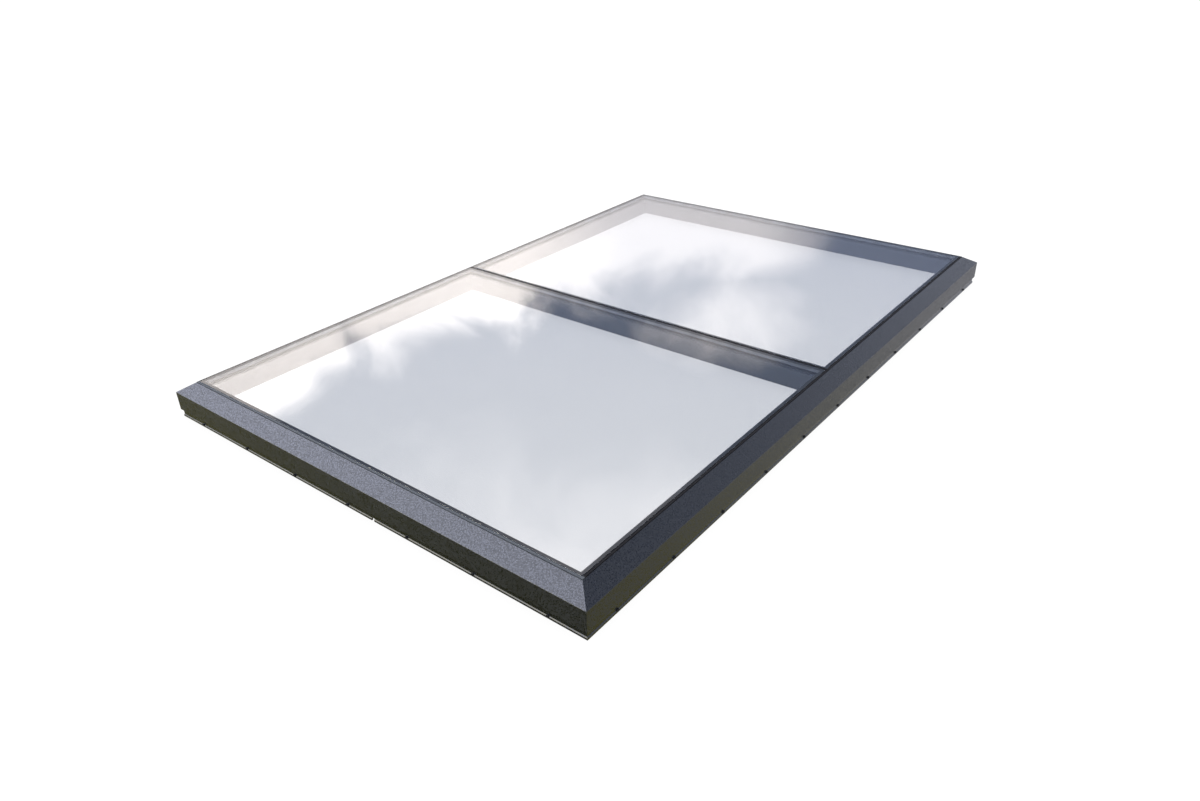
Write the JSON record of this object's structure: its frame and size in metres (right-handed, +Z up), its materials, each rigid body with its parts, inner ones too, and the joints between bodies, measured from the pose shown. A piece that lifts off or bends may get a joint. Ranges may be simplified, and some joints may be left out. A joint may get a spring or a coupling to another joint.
{
  "type": "roof skylight",
  "caption": "Fixed flat rooflight: two flush double-glazed units side by side in a bevelled metal surround, with a mullion under the centre joint and a tray that drops over a roof kerb.",
  "frame": {"origin": "centre of the underside, on the plane of the lower edge", "axes": "+X along the short sides, +Y along the long sides, +Z up towards the sky"},
  "size_m": [2, 3, 0.142],
  "materials": {
    "powder_coat": "satin anthracite powder coat with a fine texture",
    "base_coat": "satin anthracite powder coat",
    "inner_coat": "satin anthracite powder coat",
    "mill_aluminium": "mill finish",
    "insulation_foam": "rigid foam board",
    "bush_plastic": "black moulded nylon",
    "foam_seal": "closed-cell foam",
    "glass": "clear float glass, polished edges",
    "edge_sealant": "matt black sealant",
    "spacer_bar": "dark grey warm-edge bar",
    "tape": "black foam tape",
    "silicone": "tooled black silicone",
    "block_rubber": "hard black rubber",
    "zinc_screws": "zinc plated"
  },
  "bodies": {
    "root": {"cladding_front": "powder_coat", "cladding_right": "powder_coat", "cladding_back": "powder_coat", "cladding_left": "powder_coat", "base_profile_front": "base_coat", "base_profile_right": "base_coat", "base_profile_back": "base_coat", "base_profile_left": "base_coat", "inner_profile_front": "inner_coat", "inner_profile_right": "inner_coat", "inner_profile_back": "inner_coat", "inner_profile_left": "inner_coat", "mullion": "inner_coat", "corner_angle_front_left": "mill_aluminium", "corner_angle_front_right": "mill_aluminium", "corner_angle_back_left": "mill_aluminium", "corner_angle_back_right": "mill_aluminium", "corner_cleat_front_left": "mill_aluminium", "corner_cleat_front_right": "mill_aluminium", "corner_cleat_back_left": "mill_aluminium", "corner_cleat_back_right": "mill_aluminium", "mullion_cleat_right": "mill_aluminium", "mullion_cleat_left": "mill_aluminium", "insulation_front": "insulation_foam", "insulation_right": "insulation_foam", "insulation_back": "insulation_foam", "insulation_left": "insulation_foam", "fixing_bushes_front": "bush_plastic", "fixing_bushes_right": "bush_plastic", "fixing_bushes_back": "bush_plastic", "fixing_bushes_left": "bush_plastic", "base_seal_front": "foam_seal", "base_seal_right": "foam_seal", "base_seal_back": "foam_seal", "base_seal_left": "foam_seal", "backer_rod_perimeter": "foam_seal", "backer_rod_centre": "foam_seal", "outer_pane_front": "glass", "outer_pane_back": "glass", "inner_pane_front": "glass", "inner_pane_back": "glass", "edge_seal_front": "edge_sealant", "edge_seal_back": "edge_sealant", "spacer_front": "spacer_bar", "spacer_back": "spacer_bar", "glazing_tape_front": "tape", "glazing_tape_back": "tape", "silicone_joint": "silicone", "setting_blocks_front": "block_rubber", "setting_blocks_back": "block_rubber", "centre_blocks": "block_rubber", "cladding_screws": "zinc_screws", "frame_screws": "zinc_screws", "mullion_screws": "zinc_screws", "cleat_screws": "zinc_screws"}
  },
  "joints": []
}
